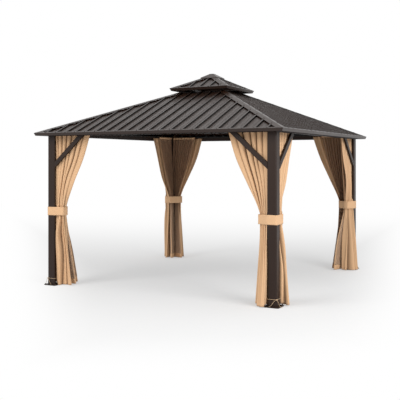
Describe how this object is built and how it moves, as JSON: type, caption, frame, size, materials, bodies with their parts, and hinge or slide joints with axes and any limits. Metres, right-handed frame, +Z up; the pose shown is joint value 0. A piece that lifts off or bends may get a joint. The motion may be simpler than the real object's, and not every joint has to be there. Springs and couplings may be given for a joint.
{
  "type": "hard-top gazebo",
  "caption": "Square hard-top metal gazebo with a ribbed hip roof, a small raised vent roof with a cap, L-shaped corner posts, knee braces, and tied-back curtains with nets.",
  "frame": {"origin": "on the ground at the centre of the plan", "axes": "+Z up, front side at -Y, right side at +X"},
  "size_m": [3.6002, 3.6002, 2.9537],
  "materials": {
    "brown_metal": "dark brown powder coat",
    "rail_metal": "dark anodised",
    "tan_cloth": "tan woven polyester",
    "brown_net": "brown fine mesh with tan hems",
    "tan_cord": "tan cotton string"
  },
  "bodies": {
    "root": {"base_plates": "brown_metal", "post_front_left": "brown_metal", "post_front_right": "brown_metal", "post_back_right": "brown_metal", "post_back_left": "brown_metal", "beam_front": "brown_metal", "beam_right": "brown_metal", "beam_back": "brown_metal", "beam_left": "brown_metal", "braces_front_left": "brown_metal", "braces_front_right": "brown_metal", "braces_back_right": "brown_metal", "braces_back_left": "brown_metal", "curtain_rails": "rail_metal", "hip_rafters": "brown_metal", "mid_rafters": "brown_metal", "vent_frame": "brown_metal", "roof_panel_front": "brown_metal", "roof_panel_right": "brown_metal", "roof_panel_back": "brown_metal", "roof_panel_left": "brown_metal", "eave_trims": "brown_metal", "hip_caps": "brown_metal", "upper_roof_panels": "brown_metal", "upper_eave_trims": "brown_metal", "upper_hip_caps": "brown_metal", "roof_cap": "brown_metal", "curtains_front_left": "tan_cloth", "curtains_front_right": "tan_cloth", "curtains_back_right": "tan_cloth", "curtains_back_left": "tan_cloth", "nets_front_left": "brown_net", "nets_front_right": "brown_net", "nets_back_right": "brown_net", "nets_back_left": "brown_net", "tieback_front_left": "tan_cloth", "tieback_front_right": "tan_cloth", "tieback_back_right": "tan_cloth", "tieback_back_left": "tan_cloth", "foot_tie_front_left": "tan_cord", "foot_tie_front_right": "tan_cord", "foot_tie_back_right": "tan_cord", "foot_tie_back_left": "tan_cord"}
  },
  "joints": []
}
